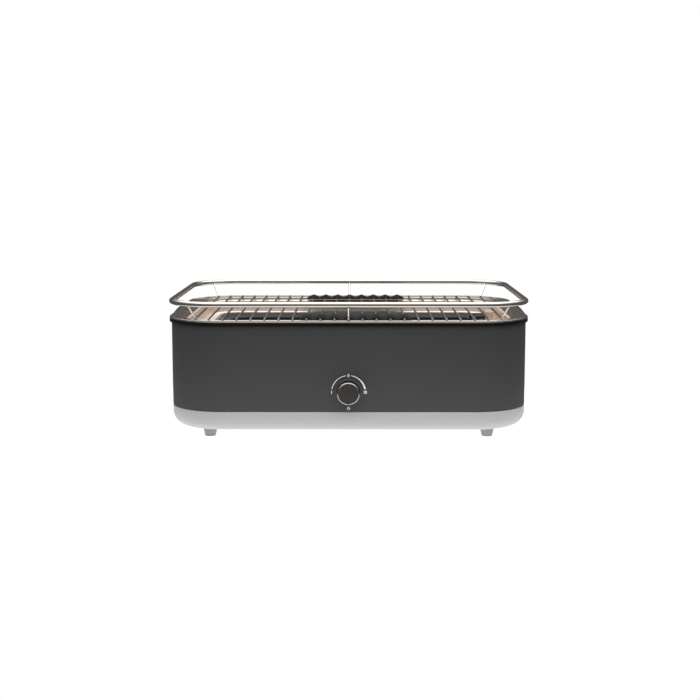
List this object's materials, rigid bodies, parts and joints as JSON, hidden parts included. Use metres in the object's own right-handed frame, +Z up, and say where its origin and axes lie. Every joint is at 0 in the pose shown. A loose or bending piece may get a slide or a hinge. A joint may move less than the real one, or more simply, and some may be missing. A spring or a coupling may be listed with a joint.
{
  "type": "electric table grill",
  "caption": "Electric table grill: rounded steel body on a light plastic base, lift-out wire grate with raised guard ring, heating element, drip pan and one rotary knob.",
  "frame": {"origin": "on the floor under the feet, at the middle of the body seen from above", "axes": "+Z up, -Y towards the front with the knob, +X to the right seen from the front"},
  "size_m": [0.532, 0.4112, 0.2005],
  "materials": {
    "anthracite_paint": "fine matte powder coat, anthracite",
    "base_plastic": "light grey moulded plastic, slightly satin",
    "foot_plastic": "mid grey moulded plastic",
    "pad_rubber": "matte black rubber",
    "bowl_steel": "polished stainless steel",
    "pan_coating": "dark non-stick coating, satin",
    "wire_chrome": "chromed wire, slightly dulled",
    "guard_steel": "bright chromed tube",
    "strip_enamel": "black enamel, satin",
    "element_sheath": "heat-darkened steel sheath",
    "head_plastic": "black heat-proof moulding",
    "contact_brass": "bare brass",
    "grip_plastic": "black moulded plastic with a fine grain",
    "shield_aluminium": "bright rolled sheet",
    "screw_steel": "zinc-plated steel",
    "knob_plastic": "black moulded plastic, satin",
    "face_plastic": "dark brown-grey face, satin",
    "knob_chrome": "bright bevelled ring",
    "dial_print": "white printed marks",
    "inlet_plastic": "black moulded plastic",
    "switch_plastic": "pale heat-proof plastic",
    "lead_insulation": "silicone insulation"
  },
  "bodies": {
    "housing": {"base_screws": "screw_steel", "base_tray": "base_plastic", "dial_bezel": "anthracite_paint", "dial_marks": "dial_print", "earth_stud": "contact_brass", "element_socket": "head_plastic", "foot_front_left": "foot_plastic", "foot_front_right": "foot_plastic", "foot_pad_front_left": "pad_rubber", "foot_pad_front_right": "pad_rubber", "foot_pad_rear_left": "pad_rubber", "foot_pad_rear_right": "pad_rubber", "foot_rear_left": "foot_plastic", "foot_rear_right": "foot_plastic", "grip_screws": "screw_steel", "heat_shield": "shield_aluminium", "heater_leads": "lead_insulation", "inlet_pins": "contact_brass", "inlet_screws": "screw_steel", "inner_bowl": "bowl_steel", "mains_inlet": "inlet_plastic", "outer_housing": "anthracite_paint", "rim_trim": "grip_plastic", "rotary_switch": "switch_plastic", "shield_spacers": "screw_steel", "side_grip_left": "grip_plastic", "side_grip_right": "grip_plastic", "socket_tabs": "contact_brass", "supply_leads": "lead_insulation", "switch_bracket": "screw_steel", "switch_leads": "lead_insulation", "switch_nut": "contact_brass", "switch_tabs": "contact_brass", "terminal_block": "switch_plastic", "thermal_cutout": "switch_plastic"},
    "knob": {"knob_body": "knob_plastic", "knob_ring": "knob_chrome", "knob_face": "face_plastic", "knob_clip": "screw_steel", "switch_shaft": "screw_steel", "switch_rotor": "switch_plastic"},
    "pan": {"drip_pan": "pan_coating"},
    "element": {"heating_element": "element_sheath", "element_head": "head_plastic", "element_pins": "contact_brass", "element_support_left": "screw_steel", "element_support_right": "screw_steel"},
    "rack": {"frame_wire": "wire_chrome", "grate_rods": "wire_chrome", "guard_ring": "guard_steel", "guard_posts": "guard_steel", "ridge_strip_front": "strip_enamel", "ridge_strip_rear": "strip_enamel"}
  },
  "joints": [
    {"name": "knob_turn", "type": "hinge", "parent": "housing", "child": "knob", "pos_m": [0, -0.19, 0.0711], "axis": [0, 1, 0], "range_deg": [0, 270]},
    {"name": "pan_lift", "type": "slide", "parent": "housing", "child": "pan", "axis": [0, 0, 1], "range_m": [0, 0.12]},
    {"name": "element_lift", "type": "slide", "parent": "pan", "child": "element", "axis": [0, 0, 1], "range_m": [0, 0.12]},
    {"name": "rack_lift", "type": "slide", "parent": "element", "child": "rack", "axis": [0, 0, 1], "range_m": [0, 0.15]}
  ]
}
